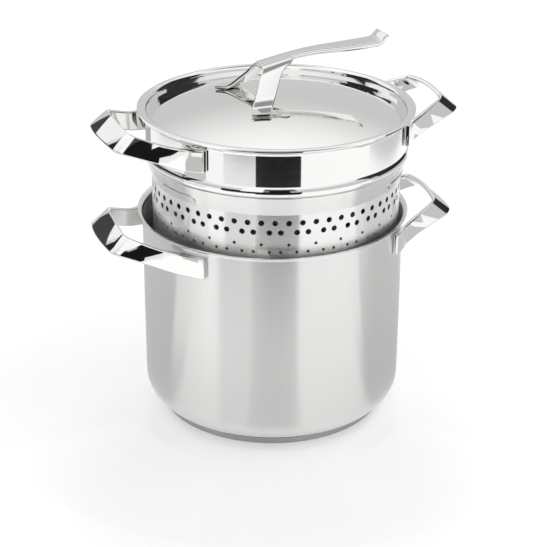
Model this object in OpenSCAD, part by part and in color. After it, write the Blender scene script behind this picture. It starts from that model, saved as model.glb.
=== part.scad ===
// Pasta pot: a tall steel pot, a perforated insert that stands in it and a domed lid.
// Millimetres, Z up. The origin is on the pot's axis at the underside of the base disc.
// The pot's two handles lie along X.

/* [Pot] */
// outside diameter of the pot body
body_d = 220; // [212:1:236]
// height of the pot's lip above the table
pot_h = 176.5; // [168:0.5:190]
// thickness of the drawn steel sheet
wall_t = 0.8; // [0.6:0.1:1.2]
// radius of the pot's bottom corner, outside
corner_r = 20; // [16:0.5:24]
// thickness of the base disc
base_t = 5.2; // [4:0.2:8]
// how far the base disc stays inside the body's outside
base_inset = 13.7; // [12:0.1:18]
// how far each flared lip reaches out past its wall
lip_out = 3.7; // [3:0.1:4.4]

/* [Insert] */
// room between the pot's wall and the insert's wall
insert_gap = 5.5; // [4.5:0.1:7]
// height of the collar's lower edge above the pot's lip
insert_rise = 47.7; // [42:0.1:56]
// how far the collar stays inside the pot's outside
collar_inset = 1.6; // [1:0.1:3]
// height of the collar with its bead and its lip
collar_h = 39.8; // [38:0.2:46]
// height of the bead at the foot of the collar
bead_h = 9.5; // [8:0.1:11]
// how far the bead stands out from the collar
bead_out = 2.2; // [1.4:0.1:2.8]
// height of the sloping shoulder under the collar
shoulder_h = 15.2; // [12:0.2:18]
// diameter of the large holes
hole_d = 4.6; // [3.4:0.1:5.2]
// diameter of the small holes
small_hole_d = 2.5; // [1.8:0.1:3]
// angle between the two holes of a pair
pair_angle = 5; // [4.4:0.1:5.6]
// length of each pressed oval along the shoulder
oval_l = 43; // [36:1:50]
// height of each pressed oval
oval_h = 8.8; // [8:0.2:11]
// height that the pressed ovals stand out
oval_out = 0.6; // [0.2:0.05:0.8]
// turn of the insert in the pot, in degrees
insert_turn = 3.4; // [0:0.2:10]
// turn of the pattern of holes from the insert's handles, in degrees
hole_turn = -3.7; // [-6:0.1:6]
// turn of the first pressed oval from the insert's handles, in degrees
oval_turn = 79.6; // [70:0.1:90]
// how far the insert stands off the pot's axis
insert_shift = 2.7; // [0:0.1:3]

/* [Side handles] */
// how far the pot's grips reach out from the wall
grip_reach = 43.6; // [40:0.2:50]
// how far the insert's grips reach out from the collar
insert_reach = 45.6; // [42:0.2:50]
// half of the grip's length between its corners
grip_half = 36; // [32:0.5:40]
// thickness of the handle strips
strip_t = 4; // [3.2:0.1:4.8]
// height of a handle's feet on the wall
foot_h = 18; // [16:0.2:20]
// angle from the middle of a pot handle to the end of its foot
foot_angle = 43.7; // [41:0.1:47]
// angle from the middle of an insert handle to the end of its foot
insert_foot_angle = 38.8; // [37:0.1:47]

/* [Lid] */
// how far the lid reaches out past the collar
lid_over = 6; // [5.4:0.1:7.4]
// depth of the lid's channel below its rim
lid_recess = 9; // [7.6:0.1:10]
// rise of the dome in the middle of the lid
dome_rise = 17.5; // [14:0.5:22]
// turn of the lid's handle from the pot's handles, in degrees
lid_turn = 5; // [0:0.5:15]
// length of the lid handle's arm, measured from the lid's axis
arm_l = 88.5; // [70:0.5:96]
// height of the lid handle's arm above the top of the dome
arm_rise = 36.8; // [30:0.2:44]
// width of the lid handle where its arm starts
arm_w = 14; // [12:0.5:18]

/* [Hidden] */
$fn = 72;
body_r = body_d / 2;
base_r = body_r - base_inset;
lip_r = lip_out - wall_t / 2;
// gaps where one piece stands on another, and where a handle is welded to its wall
seat = 0.1;
weld = 0.15;

collar_r = body_r - collar_inset;
insert_r = body_r - wall_t - insert_gap;
insert_floor = base_t + wall_t + seat;
collar_z = pot_h + insert_rise;
shoulder_z = collar_z - shoulder_h;
insert_h = collar_z + collar_h;
bead_r = (pow(bead_h / 2, 2) + pow(bead_out, 2)) / (2 * bead_out);
insert_lip_r = lip_r + 0.7;
// the way the insert stands off the pot's axis, in degrees clockwise from the right-hand handle
shift_angle = 18;

// rows of holes, measured down from the shoulder
row_1 = 6.7;
row_2 = 14.6;
row_3 = 24.9;
row_4 = 31.2;
row_low = 60;
row_pitch = 45;
hole_step = 12;
floor_pitch = 22;

// the pressed ovals' middle above the shoulder's foot, and the band that they're cut from
oval_rise = 2.4;
band_low = 8;
band_high = 10;

lid_r = collar_r + lid_over;
lid_seat = insert_h + seat;
rim_t = 1.9;
rim_top = lid_seat + rim_t;
rim_in = 3.8;
rim_drop = 1.1;
edge_r = (rim_in * rim_in + rim_drop * rim_drop) / (2 * rim_drop);
lid_play = 0.6;
channel_w = 3;
lid_wall_r = collar_r - wall_t - lid_play;
channel_z = rim_top - lid_recess;
dome_r = lid_wall_r - channel_w;
sphere_r = (dome_r * dome_r + dome_rise * dome_rise) / (2 * dome_rise);
dome_top = channel_z + dome_rise;
arm_top = dome_top + arm_rise - strip_t / 2;

// lower edges of the handles' feet, measured down from the lips
pot_foot_drop = 24.5;
insert_foot_drop = 23.2;
pot_foot_z = pot_h - pot_foot_drop;
insert_foot_z = insert_h - insert_foot_drop;

// a side handle's upper and lower edge: where it starts to leave the wall, as an angle, then the
// angle left between there and the foot's end
top_leave = 34;
low_leave = 31;
top_left = 6;
low_left = 9;
// the same edges' points beyond: x out from the wall or in from the reach, y along the wall from the
// handle's middle or from the grip's corner, z from the lower or upper edge of the foot
top_mouth = [0.4, 44.7, -1.8];
top_corner = [-19.7, -4.2, 6.6];
top_middle = [-16, 0, 11.1];
low_mouth = [6.5, 42.3, 1.7];
low_corner = [-6.4, 0.4, -5.1];
low_middle = [3.3, 0, 0.5];
strip_edge_r = 1.2;

// the lid handle's arm: its line from the back end to the tip, as x and height from the arm's top
arm_line = [
    [-15.5, -10],
    [8, -5.6],
    [arm_l * 0.36, -2.3],
    [arm_l * 0.68, -1.2],
    [arm_l, 0],
    [arm_l + 6.8, 6.6]
];
// how far the arm's front and back edges lie from its middle at those points
arm_front = [arm_w * 0.22, arm_w * 0.22, arm_w * 0.38, arm_w * 0.8, arm_w * 0.82, arm_w * 0.76];
arm_back = [arm_w * 0.57, arm_w * 0.57, arm_w * 0.57, arm_w * 0.58, arm_w * 0.63, arm_w * 0.63];
arm_t = strip_t + 0.6;
arm_edge_r = 2;

// the two edges of its front leg: x and y of the foot's end and of the bend above it, then x, y and
// height from the arm's top where the edge starts to flare and where it goes in under the arm
leg_t = strip_t - 0.8;
left_foot = [-38.1, -39.2];
left_bend = [-32.3, -27];
left_lead = [-21.6, -14.6, -17.4];
left_top = [-15.4, -9.5, -10.4];
right_foot = [-23.1, -44.7];
right_bend = [-15, -29];
right_lead = [-0.4, -13.4, -11.6];
right_top = [12.6, -8.6, -5.2];
// how much nearer the middle the left edge starts to flare on the back leg
back_in = 3.6;
// the feet lie on both sides of this y, and this far off the dome
feet_middle = 1.9;
foot_gap = 0.35;

function mix(a, b, t) = a + (b - a) * t;
function bend(a, b, c, t) = mix(mix(a, b, t), mix(b, c, t), t);

// a path along the nodes p with rounded corners: g and h are the shares of the segments before
// and after each node that its bend takes, n is the number of steps in the bend
function soft(p, g, h, n) = [
    p[0],
    for (k = [1 : len(p) - 2])
        let (a = k == 1 ? p[0] : mix(p[k - 1], p[k], h[k - 1]))
        let (b = mix(p[k], p[k - 1], g[k]))
        let (c = mix(p[k], p[k + 1], h[k]))
        let (straight = norm(b - a) > 0.01 ? [mix(a, b, 0.5), b] : [])
        each concat(straight, [for (i = [1 : n[k]]) bend(b, p[k], c, i / n[k])]),
    if (h[len(p) - 2] < 0.999) p[len(p) - 1]
];

// twelve points around a strip's section: w half its width, t half its thickness, r its edge radius
function section(w, t, r) = [
    for (q = [0 : 3]) for (a = [0, 45, 90])
        let (sx = q == 0 || q == 3 ? 1 : -1)
        let (sy = q < 2 ? 1 : -1)
        [sx * (w - r) + r * cos(q * 90 + a), sy * (t - r) + r * sin(q * 90 + a)]
];

// a strip of steel between its two edges e and f
module strip(e, f, t, r) {
    n = len(e);
    pts = [
        for (i = [0 : n - 1])
            let (c = (e[i] + f[i]) / 2)
            let (i2 = min(i + 1, n - 1))
            let (i1 = max(i - 1, 0))
            let (d = e[i2] + f[i2] - e[i1] - f[i1])
            let (w = e[i] - f[i])
            let (u = w / norm(w))
            let (k = cross(d, u))
            for (s = section(norm(w) / 2, t / 2, r)) c + s[0] * u + s[1] * k / norm(k)
    ];
    sides = [
        for (i = [0 : n - 2]) for (j = [0 : 11])
            let (a = i * 12 + j)
            let (b = i * 12 + (j + 1) % 12)
            each [[a, a + 12, b + 12], [a, b + 12, b]]
    ];
    ends = [[for (j = [0 : 11]) j], [for (j = [11 : -1 : 0]) n * 12 - 12 + j]];
    polyhedron(points = pts, faces = concat(sides, ends), convexity = 6);
}

// a point on the wall a handle is welded to, and one moved on along the wall's tangent
function on_wall(r, a, z) = [r * cos(a), r * sin(a), z];
function off_wall(r, a, d, z) = [r * cos(a) + d * sin(a), r * sin(a) - d * cos(a), z];
function mirrored(p) = [for (i = [len(p) - 1 : -1 : 0]) [p[i][0], -p[i][1], p[i][2]]];

// one edge of a side handle, from the foot on one side to the foot on the other. lead holds the angle
// at which it leaves the wall, its height at the foot's end and there, how far it runs on straight
// and its height there
function edge(r, end, lead, nodes) =
    let (arc = [for (i = [0 : 5]) on_wall(r, mix(end, lead[0], i / 5), mix(lead[1], lead[2], i / 5))])
    let (first = [for (i = [0 : 4]) arc[i]])
    let (half = concat([arc[5], off_wall(r, lead[0], lead[3], lead[4])], nodes))
    let (tail = [for (i = [len(half) - 2 : -1 : 0]) [half[i][0], -half[i][1], half[i][2]]])
    let (g = [0, 1, 0.35, 0.22, 0.85, 0.14, 0.35, 0.2, 0])
    let (h = [0, 0.2, 0.35, 0.14, 0.85, 0.22, 0.35, 1, 0])
    let (n = [0, 5, 5, 8, 16, 8, 5, 5, 0])
    concat(first, soft(concat(half, tail), g, h, n), mirrored(first));

module side_handle(wall_r, z, reach, end) {
    r = wall_r + weld + strip_t / 2;
    tip = [wall_r + reach, grip_half, foot_h];
    middle = [wall_r + reach, 0, foot_h];
    top = edge(r, end, [min(top_leave, end - top_left), foot_h, foot_h - 1.6, 4, foot_h - 2.1], [
        [wall_r, 0, foot_h] + top_mouth,
        tip + top_corner,
        middle + top_middle
    ]);
    bottom = edge(r, end, [min(low_leave, end - low_left), 0, -2.3, 5, -2.7], [
        [wall_r, 0, 0] + low_mouth,
        tip + low_corner,
        middle + low_middle
    ]);
    translate([0, 0, z]) strip(top, bottom, strip_t, strip_edge_r);
}

// a flared lip on a wall of outside radius r, its crest at height z
module lip_2d(r, z, out_r) {
    translate([r + out_r, z - wall_t - out_r]) {
        intersection() {
            difference() {
                circle(r = out_r + wall_t);
                circle(r = out_r);
            }
            translate([-out_r - wall_t, 0]) square([out_r + wall_t, out_r + wall_t]);
        }
        translate([0, out_r + wall_t / 2]) circle(r = wall_t / 2);
    }
}

// a round vessel's section, filled: outside radius r, corner radius c, from z1 to z2
module can_2d(r, c, z1, z2) {
    translate([0, z1]) square([r - c, z2 - z1]);
    translate([0, z1 + c]) square([r, z2 - z1 - c]);
    intersection() {
        translate([r - c, z1 + c]) circle(r = c);
        translate([0, z1]) square([r, c]);
    }
}

module can_shell_2d(r, c, z1, z2) {
    difference() {
        can_2d(r, c, z1, z2);
        can_2d(r - wall_t, c - wall_t, z1 + wall_t, z2 + 1);
    }
}

module pot_body() {
    color([0.80, 0.80, 0.79]) rotate_extrude() {
        can_shell_2d(body_r, corner_r, base_t, pot_h - wall_t - lip_r);
        lip_2d(body_r, pot_h, lip_r);
    }
}

module base_disc() {
    color([0.70, 0.70, 0.69]) rotate_extrude() {
        square([base_r - 0.6, base_t]);
        translate([0, 0.6]) square([base_r, base_t - 0.6]);
        intersection() {
            translate([base_r - 0.6, 0.6]) circle(r = 0.6);
            square([base_r, 0.6]);
        }
    }
}

module pot_handle_left() {
    color([0.85, 0.85, 0.84]) rotate(180) side_handle(body_r, pot_foot_z, grip_reach, foot_angle);
}

module pot_handle_right() {
    color([0.85, 0.85, 0.84]) side_handle(body_r, pot_foot_z, grip_reach, foot_angle);
}

// what stands on the insert's axis, turned by angle
module insert_place(angle) {
    off = insert_shift * [cos(shift_angle), -sin(shift_angle), 0];
    translate(off) rotate(angle) children();
}

module insert_wall_2d() {
    can_shell_2d(insert_r, corner_r, insert_floor, shoulder_z);
    polygon([
        [insert_r - wall_t, shoulder_z],
        [insert_r, shoulder_z],
        [collar_r, collar_z],
        [collar_r, collar_z + 0.4],
        [collar_r - wall_t, collar_z + 0.4],
        [collar_r - wall_t, collar_z]
    ]);
    intersection() {
        translate([collar_r + bead_out - bead_r, collar_z + 0.3 + bead_h / 2]) difference() {
            circle(r = bead_r);
            circle(r = bead_r - wall_t);
        }
        translate([collar_r - wall_t, collar_z + 0.2]) square([bead_out + wall_t, bead_h + 0.2]);
    }
    translate([collar_r - wall_t, collar_z + bead_h - 0.3])
        square([wall_t, collar_h - bead_h + 0.3 - wall_t - insert_lip_r]);
    lip_2d(collar_r, insert_h, insert_lip_r);
}

// a ring of holes through the insert's wall
module hole_ring(z, d, first, count) {
    for (i = [0 : count - 1])
        rotate(hole_turn + first + i * 360 / count)
            translate([insert_r - wall_t - 1, 0, z]) rotate([0, 90, 0]) cylinder(d = d, h = wall_t + 2);
}

module holes() {
    half_pair = pair_angle / 2;
    hole_ring(shoulder_z - row_1, hole_d, 0, 60);
    for (s = [-1, 1]) {
        hole_ring(shoulder_z - row_2, hole_d, s * half_pair, 30);
        hole_ring(shoulder_z - row_4, small_hole_d, s * half_pair, 30);
    }
    hole_ring(shoulder_z - row_3, small_hole_d, hole_step / 2, 30);
    hole_ring(shoulder_z - row_low, hole_d, 0, 30);
    hole_ring(shoulder_z - row_low - row_pitch, hole_d, hole_step / 2, 30);
    for (ring = [0 : 3])
        for (i = [0 : max(0, ring * 6 - 1)])
            rotate(ring == 0 ? 0 : i * 60 / ring)
                translate([ring * floor_pitch, 0, insert_floor - 1]) cylinder(d = hole_d, h = wall_t + 2);
}

module oval_2d() {
    square([oval_l - oval_h, oval_h], center = true);
    for (s = [-1, 1]) translate([s * (oval_l - oval_h) / 2, 0]) circle(d = oval_h);
}

// the three long ovals pressed outwards where the shoulder meets the wall
module ovals() {
    slope = (collar_r - insert_r) / shoulder_h;
    for (a = [0, 120, 240])
        rotate(oval_turn + a) intersection() {
            rotate_extrude() polygon([
                [insert_r - wall_t / 2, shoulder_z - band_low],
                [insert_r + oval_out, shoulder_z - band_low],
                [insert_r + oval_out, shoulder_z],
                [insert_r + oval_out + slope * band_high, shoulder_z + band_high],
                [insert_r - wall_t / 2 + slope * band_high, shoulder_z + band_high],
                [insert_r - wall_t / 2, shoulder_z]
            ]);
            translate([insert_r / 2, 0, shoulder_z + oval_rise])
                rotate([90, 0, 90]) linear_extrude(insert_r) oval_2d();
        }
}

module insert_body() {
    color([0.80, 0.80, 0.79]) insert_place(insert_turn) difference() {
        union() {
            rotate_extrude() insert_wall_2d();
            ovals();
        }
        holes();
    }
}

module insert_handle_left() {
    color([0.85, 0.85, 0.84]) insert_place(insert_turn + 180)
        side_handle(collar_r, insert_foot_z, insert_reach, insert_foot_angle);
}

module insert_handle_right() {
    color([0.85, 0.85, 0.84]) insert_place(insert_turn)
        side_handle(collar_r, insert_foot_z, insert_reach, insert_foot_angle);
}

module lid_2d() {
    crest = lid_r - rim_in;
    roll = crest - lid_wall_r + wall_t;
    // the outer band of the rim, flat below
    intersection() {
        translate([crest, rim_top - edge_r]) circle(r = edge_r);
        translate([crest, lid_seat]) square([rim_in, rim_t]);
    }
    // the rim's inner side rolls down into the wall of the channel
    intersection() {
        translate([crest, rim_top - roll]) difference() {
            circle(r = roll);
            circle(r = roll - wall_t);
        }
        translate([crest - roll, rim_top - roll]) square([roll, roll]);
    }
    translate([lid_wall_r - wall_t, channel_z - wall_t])
        square([wall_t, rim_top - roll - channel_z + wall_t]);
    translate([dome_r, channel_z - wall_t]) square([lid_wall_r - dome_r, wall_t]);
    intersection() {
        translate([0, dome_top - sphere_r]) difference() {
            circle(r = sphere_r);
            circle(r = sphere_r - wall_t);
        }
        translate([0, channel_z - wall_t]) square([dome_r + 0.2, dome_rise + wall_t + 1]);
    }
}

module lid() {
    color([0.84, 0.84, 0.83]) insert_place(insert_turn) rotate_extrude() lid_2d();
}

// a point of the lid handle's feet, resting on the dome
function on_dome(p) =
    let (drop = sphere_r - sqrt(sphere_r * sphere_r - p[0] * p[0] - p[1] * p[1]))
    [p[0], p[1], dome_top - drop + leg_t / 2 + foot_gap];
function over_middle(p) = [p[0], 2 * feet_middle - p[1]];

// an edge of the lid handle's legs, from the foot at the front over the top to the one at the back,
// where it starts to flare further in by shift
function leg_edge(foot, turn_in, lead, crown, shift) =
    let (top = [[0, 0, arm_top] + lead, [0, 0, arm_top] + crown])
    let (low = mirrored(top))
    let (front = [on_dome(foot), on_dome(turn_in)])
    let (back = [low[1] + [shift, 0, 0], on_dome(over_middle(turn_in)), on_dome(over_middle(foot))])
    let (g = [0, 0.4, 0.25, 0.6, 0.25, 0.35, 0.3, 0])
    let (h = [0, 0.3, 0.35, 0.25, 0.6, 0.25, 0.4, 0])
    let (n = [0, 8, 6, 8, 8, 6, 8, 0])
    soft(concat(front, top, [low[0]], back), g, h, n);

// an edge of the lid handle's arm, y holds how far it lies to the side
function arm_edge(y) =
    let (g = [0, 0.45, 0.45, 0.45, 0.14, 0])
    let (h = [0, 0.45, 0.45, 0.45, 0.4, 0])
    let (n = [0, 6, 6, 6, 6, 0])
    soft([for (i = [0 : 5]) [arm_line[i][0], y[i], arm_top + arm_line[i][1]]], g, h, n);

module lid_handle() {
    left = leg_edge(left_foot, left_bend, left_lead, left_top, back_in);
    right = leg_edge(right_foot, right_bend, right_lead, right_top, 0);
    color([0.86, 0.86, 0.85]) insert_place(lid_turn) {
        strip(arm_edge(arm_back), arm_edge(-arm_front), arm_t, arm_edge_r);
        strip(left, right, leg_t, strip_edge_r);
    }
}

pot_body();
base_disc();
pot_handle_left();
pot_handle_right();
insert_body();
insert_handle_left();
insert_handle_right();
lid();
lid_handle();
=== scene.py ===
"""Looks of the pasta pot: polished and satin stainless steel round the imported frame."""

import math

import bpy
from mathutils import Matrix, Vector


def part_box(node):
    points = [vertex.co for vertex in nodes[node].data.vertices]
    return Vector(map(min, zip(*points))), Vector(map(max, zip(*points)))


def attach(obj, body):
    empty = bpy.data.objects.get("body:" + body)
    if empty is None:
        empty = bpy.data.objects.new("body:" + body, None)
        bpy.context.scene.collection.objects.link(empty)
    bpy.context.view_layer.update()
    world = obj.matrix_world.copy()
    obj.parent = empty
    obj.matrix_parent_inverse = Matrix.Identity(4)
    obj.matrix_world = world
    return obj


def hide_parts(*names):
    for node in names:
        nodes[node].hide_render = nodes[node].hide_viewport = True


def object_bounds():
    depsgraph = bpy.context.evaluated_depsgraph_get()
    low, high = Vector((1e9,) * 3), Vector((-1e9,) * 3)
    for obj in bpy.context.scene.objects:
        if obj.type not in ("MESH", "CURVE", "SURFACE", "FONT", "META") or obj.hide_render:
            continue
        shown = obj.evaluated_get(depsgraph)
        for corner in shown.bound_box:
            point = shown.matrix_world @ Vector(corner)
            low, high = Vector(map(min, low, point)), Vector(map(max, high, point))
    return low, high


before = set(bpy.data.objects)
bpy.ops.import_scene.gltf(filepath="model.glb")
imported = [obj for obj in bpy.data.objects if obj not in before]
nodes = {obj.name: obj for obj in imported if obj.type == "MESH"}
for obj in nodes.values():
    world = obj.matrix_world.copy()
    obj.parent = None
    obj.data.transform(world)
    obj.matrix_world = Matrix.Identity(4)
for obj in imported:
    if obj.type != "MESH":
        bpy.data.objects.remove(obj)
cad_low, cad_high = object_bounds()
scene = bpy.context.scene

# Camera, in metres and degrees, fitted to the rims, walls and rows of holes
CAMERA_AZIMUTH = -18.0
CAMERA_DISTANCE = 1.2
CAMERA_HEIGHT = 0.664
CAMERA_TILT = 65.30
CAMERA_ROLL = -0.312
CAMERA_TURN = -17.912
LENS = 100.8
SENSOR = 36.0
CLIP_NEAR = 0.01
CLIP_FAR = 50.0


def make_camera():
    data = bpy.data.cameras.new("camera")
    data.lens = LENS
    data.sensor_width = SENSOR
    data.clip_start = CLIP_NEAR
    data.clip_end = CLIP_FAR
    camera = bpy.data.objects.new("camera", data)
    azimuth = math.radians(CAMERA_AZIMUTH)
    camera.location = (
        CAMERA_DISTANCE * math.sin(azimuth),
        -CAMERA_DISTANCE * math.cos(azimuth),
        CAMERA_HEIGHT,
    )
    camera.rotation_euler = [math.radians(a) for a in (CAMERA_TILT, CAMERA_ROLL, CAMERA_TURN)]
    scene.collection.objects.link(camera)
    scene.camera = camera


# How much the finer layers of every noise add
NOISE_ROUGHNESS = 0.55


class Graph:
    """A short way to add and join shader nodes."""

    def __init__(self, tree):
        self.tree = tree
        tree.nodes.clear()

    def add(self, kind, **values):
        node = self.tree.nodes.new(kind)
        for key, value in values.items():
            setattr(node, key, value)
        return node

    def join(self, source, target):
        self.tree.links.new(source, target)

    def feed(self, value, socket):
        """Sets a socket to a number, or joins another node's output to it."""
        if isinstance(value, (int, float)):
            socket.default_value = value
        else:
            self.join(value, socket)

    def math(self, operation, *values):
        node = self.add("ShaderNodeMath", operation=operation)
        for value, socket in zip(values, node.inputs):
            self.feed(value, socket)
        return node.outputs[0]

    def span(self, value, low, high, to_low, to_high, smooth=False):
        """Maps a value from low and high to to_low and to_high, and no further."""
        node = self.add("ShaderNodeMapRange")
        if smooth:
            node.interpolation_type = "SMOOTHSTEP"
        for number, socket in zip((value, low, high, to_low, to_high), node.inputs):
            self.feed(number, socket)
        return node.outputs[0]

    def noise(self, vector, scale, detail):
        node = self.add("ShaderNodeTexNoise")
        node.inputs["Scale"].default_value = scale
        node.inputs["Detail"].default_value = detail
        node.inputs["Roughness"].default_value = NOISE_ROUGHNESS
        self.join(vector, node.inputs["Vector"])
        return node.outputs["Fac"]


# Noises on the steel. GRIND_ROUND is how often the grinding lines change in a radian round the axis, and
# GRIND_ACROSS in a metre up or outwards. The scales of the wear from handling and of the waves in the
# polished strips are per metre too
GRIND_ROUND = 0.6
GRIND_ACROSS = 900.0
GRIND_DETAIL = 2.0
WEAR_SCALE = 14.0
WEAR_DETAIL = 3.0
WAVE_SCALE = 60.0
WAVE_DETAIL = 1.0
WAVE_DEPTH = 0.00002

# The noise's values at which the wear is least and most
WEAR_LEAST = 0.3
WEAR_MOST = 0.7

# A quarter turn, so that the highlights stretch upwards across the grinding that runs round the axis
ACROSS = 0.25

# Half the height over which a satin wall turns into a polished one
POLISH_BLEND = 0.0008


def around_axis(graph, place):
    """Coordinates that run round the object's upright axis, and the height. A noise on these coordinates is
    stretched along the grinding."""
    parts = graph.add("ShaderNodeSeparateXYZ")
    graph.join(place, parts.inputs[0])
    x, y, z = parts.outputs
    angle = graph.math("ARCTAN2", y, x)
    squares = graph.math("ADD", graph.math("MULTIPLY", x, x), graph.math("MULTIPLY", y, y))
    radius = graph.math("SQRT", squares)
    joined = graph.add("ShaderNodeCombineXYZ")
    graph.join(graph.math("MULTIPLY", angle, GRIND_ROUND), joined.inputs[0])
    graph.join(graph.math("MULTIPLY", radius, GRIND_ACROSS), joined.inputs[1])
    graph.join(graph.math("MULTIPLY", z, GRIND_ACROSS), joined.inputs[2])
    return joined.outputs[0], z


def polished_above(graph, worn, height, level, polished):
    """Roughness that falls from worn to polished above a level."""
    share = graph.span(height, level - POLISH_BLEND, level + POLISH_BLEND, 0.0, 1.0)
    kept = graph.math("MULTIPLY", graph.math("SUBTRACT", 1.0, share), worn)
    return graph.math("ADD", kept, graph.math("MULTIPLY", share, polished))


def steel(name, colour, rough, anisotropic, grain=0.0, bright=None):
    """Stainless steel. rough holds its least and most roughness, grain the depth of its grinding lines in
    metres, bright the height above which it is polished and its roughness there."""
    material = bpy.data.materials.new(name)
    material.use_nodes = True
    graph = Graph(material.node_tree)
    shader = graph.add("ShaderNodeBsdfPrincipled")
    output = graph.add("ShaderNodeOutputMaterial")
    graph.join(shader.outputs[0], output.inputs[0])
    shader.inputs["Base Color"].default_value = (*colour, 1.0)
    shader.inputs["Metallic"].default_value = 1.0
    shader.inputs["Anisotropic"].default_value = anisotropic
    shader.inputs["Anisotropic Rotation"].default_value = ACROSS
    place = graph.add("ShaderNodeTexCoord").outputs["Object"]
    lines, height = around_axis(graph, place)
    worn = graph.span(graph.noise(place, WEAR_SCALE, WEAR_DETAIL), WEAR_LEAST, WEAR_MOST, *rough)
    if bright:
        worn = polished_above(graph, worn, height, *bright)
    graph.join(worn, shader.inputs["Roughness"])
    if anisotropic:
        tangent = graph.add("ShaderNodeTangent", direction_type="RADIAL", axis="Z")
        graph.join(tangent.outputs[0], shader.inputs["Tangent"])
    bump = graph.add("ShaderNodeBump")
    bump.inputs["Strength"].default_value = 1.0
    if grain:
        bump.inputs["Distance"].default_value = grain
        graph.join(graph.noise(lines, 1.0, GRIND_DETAIL), bump.inputs["Height"])
    else:
        bump.inputs["Distance"].default_value = WAVE_DEPTH
        graph.join(graph.noise(place, WAVE_SCALE, WAVE_DETAIL), bump.inputs["Height"])
    graph.join(bump.outputs[0], shader.inputs["Normal"])
    return material


# The polished lip of the pot and the polished collar of the insert, down from their tops
LIP = 0.0035
COLLAR_H = 0.0398

FINISH = {
    "pot_body": steel(
        "pot_steel",
        colour=(0.87, 0.87, 0.86),
        rough=(0.28, 0.30),
        anisotropic=1.0,
        grain=0.000004,
        bright=(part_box("pot_body")[1].z - LIP, 0.06),
    ),
    "base_disc": steel(
        "base_steel",
        colour=(0.42, 0.42, 0.41),
        rough=(0.26, 0.32),
        anisotropic=0.8,
        grain=0.000006,
    ),
    "insert_body": steel(
        "insert_steel",
        colour=(0.88, 0.88, 0.87),
        rough=(0.20, 0.23),
        anisotropic=1.0,
        grain=0.000004,
        bright=(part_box("insert_body")[1].z - COLLAR_H, 0.075),
    ),
    "lid": steel(
        "lid_steel",
        colour=(0.90, 0.90, 0.89),
        rough=(0.05, 0.07),
        anisotropic=0.3,
        grain=0.000001,
    ),
}
handle_steel = steel(
    "handle_steel",
    colour=(0.86, 0.86, 0.85),
    rough=(0.03, 0.05),
    anisotropic=0.0,
)
for name, node in nodes.items():
    for slot in node.material_slots:
        slot.material = FINISH.get(name, handle_steel)


# The handles repeat the source's sizes, in millimetres and degrees, with finer bends
MM = 0.001
BODY_R = 110.0
POT_H = 176.5
COLLAR_R = 108.4
INSERT_H = 264.0

# The insert stands INSERT_SHIFT off the pot's axis, towards SHIFT_ANGLE. It and the lid's handle are turned
INSERT_SHIFT = 2.7
SHIFT_ANGLE = -18.0
INSERT_TURN = 3.4
LID_TURN = 5.0

# Strips: how thick they are, how round their long edges are, and the gap that stands for the weld
STRIP_T = 4.0
STRIP_EDGE = 1.2
WELD = 0.15

# Side handles: how far the feet's lower end is under the rim, how far the tip stands off the wall, and the
# angle from the handle's middle at which the feet end. The feet are FOOT_H high, and the grip is twice
# GRIP_HALF long
POT_FOOT_DROP = 24.5
POT_REACH = 43.6
POT_FOOT_END = 43.7
INSERT_FOOT_DROP = 23.2
INSERT_REACH = 45.6
INSERT_FOOT_END = 38.8
FOOT_H = 18.0
GRIP_HALF = 36.0

# The angles at which the edges leave the wall. The foot's lower edge is at least LEAST_FOOT degrees long
UPPER_ANGLE = 34.0
LOWER_ANGLE = 31.0
LEAST_FOOT = 9.0

# An edge's heights at the foot's end and where it leaves the wall, how far it runs on from there and its
# height then. Then its corner beside the wall, with x from the wall, and its corner at the end of the grip
# and the grip's middle, with x from the tip
UPPER_EDGE = {
    "foot": (FOOT_H, FOOT_H - 1.6),
    "run": (4.0, FOOT_H - 2.1),
    "beside": (0.4, 44.7, FOOT_H - 1.8),
    "grip": ((-19.7, GRIP_HALF - 4.2, FOOT_H + 6.6), (-16.0, 0.0, FOOT_H + 11.1)),
}
LOWER_EDGE = {
    "foot": (0.0, -2.3),
    "run": (5.0, -2.7),
    "beside": (6.5, 42.3, 1.7),
    "grip": ((-6.4, GRIP_HALF + 0.4, FOOT_H - 5.1), (3.3, 0.0, FOOT_H + 0.5)),
}

# Lid handle: the dome that it stands on, the arm, the leg strip, and the gap under its feet
DOME_TOP = 274.5
DOME_RISE = 17.5
DOME_R = 104.0
ARM_RISE = 36.8
ARM_W = 14.0
ARM_L = 88.5
ARM_T = STRIP_T + 0.6
ARM_EDGE = 2.0
LEG_T = STRIP_T - 0.8
FEET_MIDDLE = 1.9
FOOT_GAP = 0.35

# The arm's points: how far out, how high over the level of the middle line where the arm bends up, and the
# shares of its width that its back and its front edge stand off its middle
ARM_OUT = (-15.5, 8.0, ARM_L * 0.36, ARM_L * 0.68, ARM_L, ARM_L + 6.8)
ARM_UP = (-10.0, -5.6, -2.3, -1.2, 0.0, 6.6)
ARM_BACK = (0.57, 0.57, 0.57, 0.58, 0.63, 0.63)
ARM_FRONT = (-0.22, -0.22, -0.38, -0.8, -0.82, -0.76)

# The leg strip's edges: where the front foot ends and where it turns up on the dome, then the corners before
# the crown and on it, whose heights are over the arm's level. The back half mirrors the front half, and its
# lead corner is back_in farther along x
LEG_LEFT = {
    "foot": (-38.1, -39.2),
    "turn_up": (-32.3, -27.0),
    "lead": (-21.6, -14.6, -17.4),
    "crown": (-15.4, -9.5, -10.4),
    "back_in": 3.6,
}
LEG_RIGHT = {
    "foot": (-23.1, -44.7),
    "turn_up": (-15.0, -29.0),
    "lead": (-0.4, -13.4, -11.6),
    "crown": (12.6, -8.6, -5.2),
    "back_in": 0.0,
}

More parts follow.
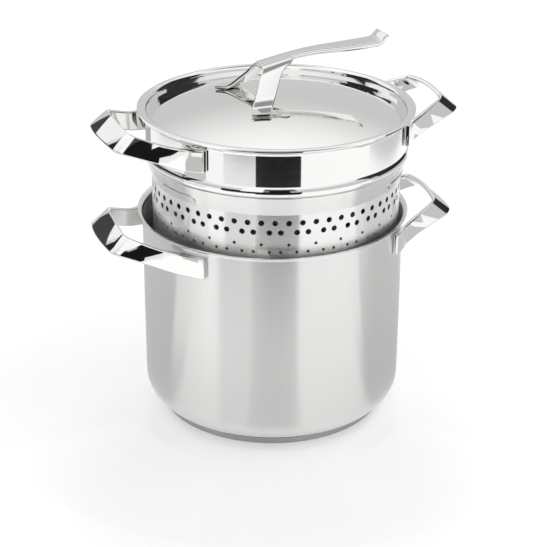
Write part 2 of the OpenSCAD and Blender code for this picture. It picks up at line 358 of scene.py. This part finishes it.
# Bends of an edge, point by point: the shares that a bend takes of the segments before and after it, and then
# its steps
SIDE_BENDS = (
    (0, 1, 0.35, 0.22, 0.85, 0.14, 0.35, 0.2, 0),
    (0, 0.2, 0.35, 0.14, 0.85, 0.22, 0.35, 1, 0),
    (0, 5, 5, 8, 16, 8, 5, 5, 0),
)
LEG_BENDS = (
    (0, 0.4, 0.25, 0.6, 0.25, 0.35, 0.3, 0),
    (0, 0.3, 0.35, 0.25, 0.6, 0.25, 0.4, 0),
    (0, 8, 6, 8, 8, 6, 8, 0),
)
ARM_BENDS = (
    (0, 0.45, 0.45, 0.45, 0.14, 0),
    (0, 0.45, 0.45, 0.45, 0.4, 0),
    (0, 6, 6, 6, 6, 0),
)

# Steps in a straight stretch and along a foot, how many times more of them bends and feet get here than in
# the source, and steps round each edge of a strip
STRAIGHT = 6
FOOT_STEPS = 5
FINER = 4
EDGE_STEPS = 6

# A straight stretch shorter than SHORTEST gets no steps, nor does a last one of which a bend takes WHOLE
SHORTEST = 0.01
WHOLE = 0.999

# How round the cut ends are, and in how many steps
END_R = 0.8
END_STEPS = 4

# Faces that meet at a sharper angle than this keep a hard edge
SHARP_ANGLE = 40.0


def mix(a, b, t):
    return a + (b - a) * t


def bend(a, b, c, t):
    return mix(mix(a, b, t), mix(b, c, t), t)


def soft(points, before, after, steps):
    """A path along the points with rounded corners."""
    path = [points[0]]
    for k in range(1, len(points) - 1):
        start = points[0] if k == 1 else mix(points[k - 1], points[k], after[k - 1])
        b = mix(points[k], points[k - 1], before[k])
        c = mix(points[k], points[k + 1], after[k])
        if (b - start).length > SHORTEST:
            path += [mix(start, b, i / STRAIGHT) for i in range(1, STRAIGHT + 1)]
        count = steps[k] * FINER
        path += [bend(b, points[k], c, i / count) for i in range(1, count + 1)]
    if after[-2] < WHOLE:
        path += [mix(path[-1], points[-1], i / STRAIGHT) for i in range(1, STRAIGHT + 1)]
    return path


def section(half_w, half_t, r):
    """Points round a strip's section."""
    ring = []
    for quarter in range(4):
        sx = 1 if quarter in (0, 3) else -1
        sy = 1 if quarter < 2 else -1
        for k in range(EDGE_STEPS + 1):
            a = math.radians(quarter * 90 + k * 90 / EDGE_STEPS)
            ring.append((sx * (half_w - r) + r * math.cos(a), sy * (half_t - r) + r * math.sin(a)))
    return ring


def rounded_end(a, b, inner_a, inner_b):
    """Places on a strip's rounded end, out to the end: two edge points and how much narrower it is there."""
    along = (a + b - inner_a - inner_b).normalized()
    places = []
    for k in range(END_STEPS + 1):
        turn = math.radians(90 * k / END_STEPS)
        back = along * END_R * (1 - math.sin(turn))
        places.append((a - back, b - back, END_R * (1 - math.cos(turn))))
    return places


def strip(edge_a, edge_b, thick, r, place):
    """Vertices and faces of a strip between two edges, moved by place."""
    first = rounded_end(edge_a[0], edge_b[0], edge_a[1], edge_b[1])
    final = rounded_end(edge_a[-1], edge_b[-1], edge_a[-2], edge_b[-2])
    middle = [(a, b, 0.0) for a, b in zip(edge_a[1:-1], edge_b[1:-1])]
    places = first[::-1] + middle + final
    verts, faces = [], []
    last = len(places) - 1
    around = 4 * (EDGE_STEPS + 1)
    for i, (a, b, less) in enumerate(places):
        after, before = places[min(i + 1, last)], places[max(i - 1, 0)]
        along = after[0] + after[1] - before[0] - before[1]
        across = (a - b).normalized()
        out = along.cross(across).normalized()
        for s, t in section((a - b).length / 2 - less, thick / 2 - less, r - less):
            verts.append(place @ ((a + b) / 2 + across * s + out * t) * MM)
    for i in range(last):
        for j in range(around):
            k = (j + 1) % around
            faces.append((i * around + j, (i + 1) * around + j, (i + 1) * around + k, i * around + k))
    faces.append(tuple(range(around)))
    faces.append(tuple(last * around + j for j in reversed(range(around))))
    return verts, faces


def off_wall(r, angle, run, z):
    """A point that has left the wall at an angle and run straight on."""
    a = math.radians(angle)
    return Vector((r * math.cos(a) + run * math.sin(a), r * math.sin(a) - run * math.cos(a), z))


def mirrored(points):
    return [Vector((v.x, -v.y, v.z)) for v in reversed(points)]


def side_edge(wall_r, reach, foot_end, angle, edge):
    """One edge of a side handle, from foot to foot."""
    r = wall_r + WELD + STRIP_T / 2
    count = FOOT_STEPS * FINER
    arc = []
    for i in range(count + 1):
        share = i / count
        arc.append(off_wall(r, mix(foot_end, angle, share), 0.0, mix(*edge["foot"], share)))
    x, y, z = edge["beside"]
    half = [arc[-1], off_wall(r, angle, *edge["run"]), Vector((wall_r + x, y, z))]
    half += [Vector((wall_r + reach + x, y, z)) for x, y, z in edge["grip"]]
    return arc[:-1] + soft(half + mirrored(half[:-1]), *SIDE_BENDS) + mirrored(arc[:-1])


def side_handle(wall_r, foot_z, reach, foot_end, place):
    """A strip that stands off the wall and twists, because its upper edge stays nearer to the wall."""
    lower_angle = min(LOWER_ANGLE, foot_end - LEAST_FOOT)
    upper = side_edge(wall_r, reach, foot_end, UPPER_ANGLE, UPPER_EDGE)
    lower = side_edge(wall_r, reach, foot_end, lower_angle, LOWER_EDGE)
    return [strip(upper, lower, STRIP_T, STRIP_EDGE, place @ Matrix.Translation((0, 0, foot_z)))]


def on_dome(x, y):
    """Where the middle of the leg strip's thickness lies over a point of the dome."""
    sphere = (DOME_R**2 + DOME_RISE**2) / (2 * DOME_RISE)
    drop = sphere - math.sqrt(sphere**2 - x * x - y * y)
    return Vector((x, y, DOME_TOP - drop + LEG_T / 2 + FOOT_GAP))


def lid_handle(place):
    """The arm, and the leg strip that carries it over the dome."""
    level = DOME_TOP + ARM_RISE - STRIP_T / 2

    def leg(foot, turn_up, lead, crown, back_in):
        high = [Vector((x, y, level + z)) for x, y, z in (lead, crown)]
        low = mirrored(high)
        front = [on_dome(*foot), on_dome(*turn_up)]
        back = [on_dome(x, 2 * FEET_MIDDLE - y) for x, y in (turn_up, foot)]
        points = front + high + [low[0], low[1] + Vector((back_in, 0, 0))] + back
        return soft(points, *LEG_BENDS)

    def arm(shares):
        points = [Vector((x, ARM_W * share, level + z)) for x, share, z in zip(ARM_OUT, shares, ARM_UP)]
        return soft(points, *ARM_BENDS)

    return [
        strip(arm(ARM_BACK), arm(ARM_FRONT), ARM_T, ARM_EDGE, place),
        strip(leg(**LEG_LEFT), leg(**LEG_RIGHT), LEG_T, STRIP_EDGE, place),
    ]


def add_piece(node, parts):
    """One smooth mesh that stands for a CAD node."""
    name = "smooth_" + node
    verts, faces = [], []
    for part_verts, part_faces in parts:
        start = len(verts)
        verts += part_verts
        faces += [tuple(start + i for i in face) for face in part_faces]
    mesh = bpy.data.meshes.new(name)
    mesh.from_pydata(verts, [], faces)
    mesh.shade_smooth()
    mesh.set_sharp_from_angle(angle=math.radians(SHARP_ANGLE))
    mesh.materials.append(handle_steel)
    piece = bpy.data.objects.new(name, mesh)
    scene.collection.objects.link(piece)
    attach(piece, "root")
    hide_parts(node)


def turned(angle):
    return Matrix.Rotation(math.radians(angle), 4, "Z")


def make_handles():
    shift = turned(SHIFT_ANGLE) @ Matrix.Translation((INSERT_SHIFT, 0, 0)) @ turned(-SHIFT_ANGLE)
    for side, angle in (("right", 0), ("left", 180)):
        pot = side_handle(BODY_R, POT_H - POT_FOOT_DROP, POT_REACH, POT_FOOT_END, turned(angle))
        add_piece(f"pot_handle_{side}", pot)
        place = shift @ turned(INSERT_TURN + angle)
        insert = side_handle(COLLAR_R, INSERT_H - INSERT_FOOT_DROP, INSERT_REACH, INSERT_FOOT_END, place)
        add_piece(f"insert_handle_{side}", insert)
    add_piece("lid_handle", lid_handle(shift @ turned(LID_TURN)))


# The floor, in metres. Its own light is weaker up to SHADE_FROM away from SHADE_MIDDLE, in front of the pot,
# and full from SHADE_TO on: this weaker glow is a painted soft shadow of the pot on the floor
FLOOR_SIZE = 16.0
PAPER_COLOUR = 0.62
PAPER_ROUGHNESS = 0.14
PAPER_LIGHT = 0.49
SHADE_MIDDLE = (-0.053, -0.162)
SHADE_FROM = 0.10
SHADE_TO = 0.24
PAINTED_SHADOW_GLOW = 0.38


def make_floor():
    bpy.ops.mesh.primitive_plane_add(size=FLOOR_SIZE, location=(*SHADE_MIDDLE, cad_low.z))
    floor = bpy.context.object
    floor.name = "floor"
    material = bpy.data.materials.new("floor")
    material.use_nodes = True
    graph = Graph(material.node_tree)
    paper = graph.add("ShaderNodeBsdfPrincipled")
    paper.inputs["Base Color"].default_value = (PAPER_COLOUR, PAPER_COLOUR, PAPER_COLOUR, 1.0)
    paper.inputs["Roughness"].default_value = PAPER_ROUGHNESS
    glow = graph.add("ShaderNodeEmission")
    rays = graph.add("ShaderNodeLightPath")
    seen = graph.math("MAXIMUM", rays.outputs["Is Camera Ray"], rays.outputs["Is Glossy Ray"])
    place = graph.add("ShaderNodeTexCoord").outputs["Object"]
    reach = graph.add("ShaderNodeVectorMath", operation="LENGTH")
    graph.join(place, reach.inputs[0])
    # Painted shadow: the floor's glow is dimmer near the pot than out on the paper
    light = graph.span(reach.outputs["Value"], SHADE_FROM, SHADE_TO, PAINTED_SHADOW_GLOW, PAPER_LIGHT, smooth=True)
    graph.join(graph.math("MULTIPLY", seen, light), glow.inputs["Strength"])
    both = graph.add("ShaderNodeAddShader")
    output = graph.add("ShaderNodeOutputMaterial")
    graph.join(paper.outputs[0], both.inputs[0])
    graph.join(glow.outputs[0], both.inputs[1])
    graph.join(both.outputs[0], output.inputs[0])
    floor.data.materials.append(material)


def glowing(name, corners, tone):
    """A flat shape of an even tone that only mirror reflections show."""
    mesh = bpy.data.meshes.new(name)
    mesh.from_pydata(corners, [], [tuple(range(len(corners)))])
    material = bpy.data.materials.new(name)
    material.use_nodes = True
    graph = Graph(material.node_tree)
    glow = graph.add("ShaderNodeEmission")
    glow.inputs["Strength"].default_value = tone
    output = graph.add("ShaderNodeOutputMaterial")
    graph.join(glow.outputs[0], output.inputs[0])
    mesh.materials.append(material)
    made = bpy.data.objects.new(name, mesh)
    scene.collection.objects.link(made)
    made.visible_camera = False
    made.visible_diffuse = False
    made.visible_shadow = False
    made.visible_transmission = False


# Sectors that lie SECTOR_LIFT over the floor, for the satin walls to mirror: dark at the sides, pale in
# front with a grey strip near the pot, which is painted shade: it stands for the floor's shade close to the
# pot in the reflections. Here and in CARDS sizes are in metres and angles in degrees. Azimuth runs from +Y
# towards +X, and the camera is at 198
SECTOR_LIFT = 0.0005
SECTOR_STEPS = 8
NEAR_RING = (0.13, 0.25)
FAR_RING = (0.25, 0.56)
FRONT_RING = (0.25, 0.47)
END_RING = (0.47, 0.56)

# Name: start and end azimuth, nearest and farthest distance, tone
SECTORS = {
    "near_right": (58.0, 134.0, NEAR_RING, 0.58),
    "near_front_right": (134.0, 180.4, NEAR_RING, 0.86),
    "near_front": (180.4, 211.6, NEAR_RING, 0.72),
    "near_front_left": (211.6, 262.0, NEAR_RING, 0.84),
    "near_left": (262.0, 340.0, NEAR_RING, 0.58),
    "far_right": (58.0, 126.0, FAR_RING, 0.62),
    "far_front_right": (126.0, 179.4, FAR_RING, 1.10),
    "far_front": (179.4, 212.6, FRONT_RING, 1.15),
    "far_front_end": (179.4, 212.6, END_RING, 0.38),
    "far_front_left": (212.6, 279.0, FAR_RING, 1.15),
    "far_left": (279.0, 340.0, FAR_RING, 0.60),
    "left_end": (256.0, 278.0, (0.56, 0.95), 0.60),
    "back_left_end": (331.0, 352.0, (0.56, 1.00), 0.45),
}

# Upright cards for the polished steel to mirror
# Name: azimuth, distance, lowest and highest point, width, tone
CARDS = {
    # A low black flag that fills the middle of the collar, and two higher ones for the curved lip and bead
    "card_front": (196.0, 0.57, 0.0, 0.28, 0.36, 0.01),
    "card_front_upright": (195.0, 0.57, 0.28, 0.55, 0.16, 0.01),
    "card_front_far": (197.0, 1.3, 0.7, 1.6, 0.75, 0.08),
    # A dark one and a white strip for the left handles
    "card_front_left": (222.0, 0.82, 0.0, 0.42, 0.55, 0.01),
    "card_white_strip": (215.0, 0.42, 0.27, 0.75, 0.12, 1.1),
    # At the sides: grey below, which gives the collar and the body their darker sides, and black above
    "card_left_grey": (303.0, 0.80, 0.0, 0.26, 0.85, 0.55),
    "card_left_black": (290.0, 0.82, 0.26, 1.06, 0.60, 0.02),
    "card_right_grey": (89.0, 0.71, 0.0, 0.26, 0.75, 0.64),
    "card_right_black": (86.0, 0.75, 0.26, 0.44, 0.68, 0.02),
    "card_right_high": (87.0, 0.85, 0.44, 1.1, 1.0, 0.03),
    # Behind to the left: a dark one near the handles and a white one over it
    "card_back_left": (316.0, 0.45, 0.20, 0.395, 0.32, 0.06),
    "card_back_left_white": (330.0, 0.9, 0.50, 1.1, 0.5, 1.0),
}


def at_azimuth(angle, distance, height):
    """A point at an azimuth, a distance from the axis and a height."""
    a = math.radians(angle)
    return Vector((math.sin(a) * distance, math.cos(a) * distance, height))


def sector(name, start, end, ring, tone):
    """A part of a ring on the floor, between two azimuths."""
    angles = [mix(start, end, i / SECTOR_STEPS) for i in range(SECTOR_STEPS + 1)]
    near, far = ring
    height = cad_low.z + SECTOR_LIFT
    outer = [at_azimuth(angle, far, height) for angle in angles]
    inner = [at_azimuth(angle, near, height) for angle in reversed(angles)]
    glowing(name, outer + inner, tone)


def card(name, azimuth, distance, low, high, width, tone):
    """An upright card that faces the axis."""
    side = at_azimuth(azimuth + 90, width / 2, 0)
    bottom = at_azimuth(azimuth, distance, low)
    top = at_azimuth(azimuth, distance, high)
    glowing(name, [bottom - side, bottom + side, top + side, top - side], tone)


# The room's tone up to WALL_SINE, the sine of a height over the horizon, and from CEILING_SINE on
WALL_SINE = 0.35
CEILING_SINE = 0.95
WALL_TONE = 0.78
CEILING_TONE = 1.4

# A soft grey patch of the sky overhead, for the bends of the handles that look up: azimuth and height of its
# middle, the angles from there at which it begins and is full, and its tone
PATCH_AZIMUTH = 60.0
PATCH_HEIGHT = 80.0
PATCH_BEGINS = 28.0
PATCH_FULL = 10.0
PATCH_TONE = 0.40


def make_world():
    """White behind the pot for the camera, and the room for all that is lit or mirrored."""
    world = bpy.data.worlds.new("studio")
    scene.world = world
    world.use_nodes = True
    graph = Graph(world.node_tree)
    way = graph.add("ShaderNodeTexCoord").outputs["Generated"]
    parts = graph.add("ShaderNodeSeparateXYZ")
    graph.join(way, parts.inputs[0])
    room = graph.span(parts.outputs[2], WALL_SINE, CEILING_SINE, WALL_TONE, CEILING_TONE, smooth=True)
    rise = math.radians(PATCH_HEIGHT)
    nearness = graph.add("ShaderNodeVectorMath", operation="DOT_PRODUCT")
    graph.join(way, nearness.inputs[0])
    nearness.inputs[1].default_value = at_azimuth(PATCH_AZIMUTH, math.cos(rise), math.sin(rise))
    begins, full = math.cos(math.radians(PATCH_BEGINS)), math.cos(math.radians(PATCH_FULL))
    room = graph.span(nearness.outputs["Value"], begins, full, room, PATCH_TONE, smooth=True)
    seen = graph.add("ShaderNodeLightPath").outputs["Is Camera Ray"]
    lit = graph.math("MULTIPLY", graph.math("SUBTRACT", 1.0, seen), room)
    sky = graph.add("ShaderNodeBackground")
    graph.join(graph.math("ADD", seen, lit), sky.inputs["Strength"])
    output = graph.add("ShaderNodeOutputWorld")
    graph.join(sky.outputs[0], output.inputs[0])


# A weak softbox over the right, in metres and watts
LAMP_PLACE = Vector((0.9, -0.3, 1.7))
LAMP_AIM = Vector((0.0, 0.0, 0.15))
LAMP_WIDTH = 1.4
LAMP_HEIGHT = 1.0
LAMP_POWER = 6.0


def make_lamp():
    data = bpy.data.lights.new("softbox", "AREA")
    data.shape = "RECTANGLE"
    data.size = LAMP_WIDTH
    data.size_y = LAMP_HEIGHT
    data.energy = LAMP_POWER
    lamp = bpy.data.objects.new("softbox", data)
    lamp.location = LAMP_PLACE
    lamp.rotation_euler = (LAMP_AIM - LAMP_PLACE).to_track_quat("-Z", "Y").to_euler()
    lamp.visible_glossy = False
    scene.collection.objects.link(lamp)


make_camera()
make_handles()
make_floor()
for name, row in SECTORS.items():
    sector(name, *row)
for name, row in CARDS.items():
    card(name, *row)
make_world()
make_lamp()

scene.view_settings.view_transform = "Standard"
scene.cycles.max_bounces = 16
scene.cycles.glossy_bounces = 12
